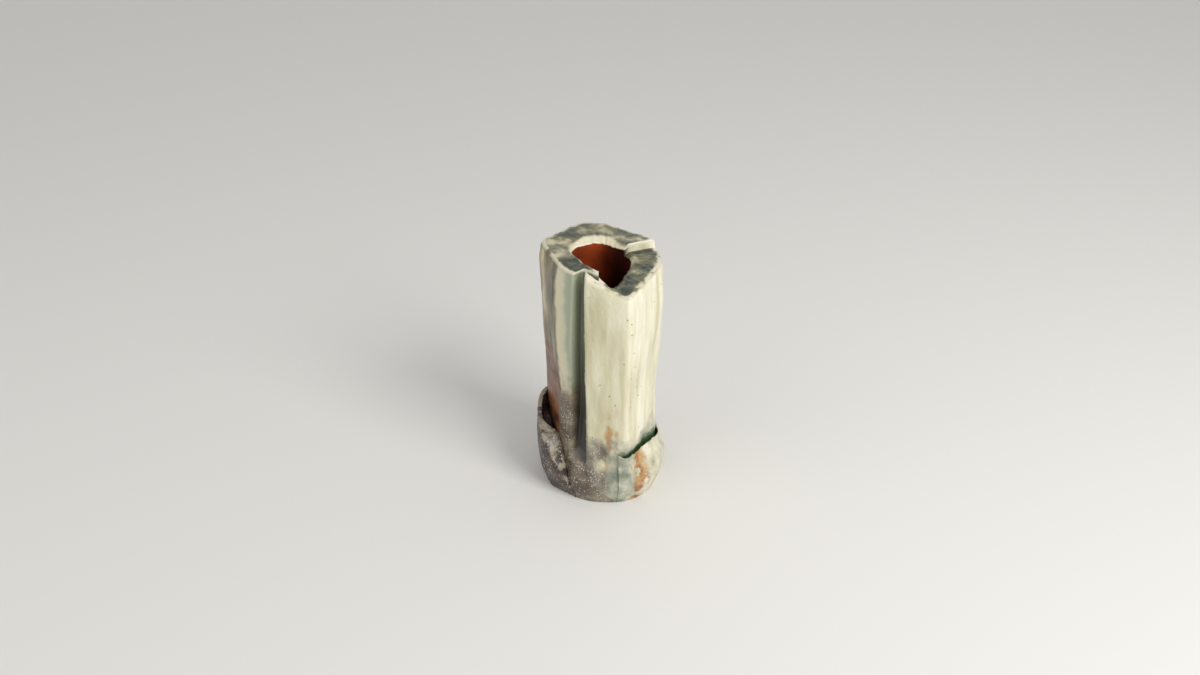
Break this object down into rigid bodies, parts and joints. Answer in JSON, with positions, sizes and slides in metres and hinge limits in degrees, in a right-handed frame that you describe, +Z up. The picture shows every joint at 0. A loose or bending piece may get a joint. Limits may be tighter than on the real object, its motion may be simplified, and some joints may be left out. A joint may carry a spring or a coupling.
{
  "type": "flower vase",
  "caption": "Wood-fired stoneware flower vase: a cut-faced column with a torn, stepped rim, a deep groove and clay slabs wrapped round its foot.",
  "frame": {"origin": "middle of the underside, on the floor slab, where the bore's axis meets the surface that the vase stands on", "axes": "+Z up along the bore; -Y is the side with the groove and the low front of the rim; +X is the right of that view"},
  "size_m": [0.1185, 0.1133, 0.235],
  "materials": {
    "bare_clay": "unglazed red-brown clay",
    "moss_glaze": "mottled olive ash glaze over brown clay",
    "ash_glaze": "cream ash glaze, streaked",
    "scorched_clay": "grey-brown clay with white feldspar grains"
  },
  "bodies": {
    "root": {"floor_slab": "bare_clay", "back_wall": "moss_glaze", "front_wall": "ash_glaze", "left_sheath": "scorched_clay", "right_sheath": "ash_glaze"}
  },
  "joints": []
}
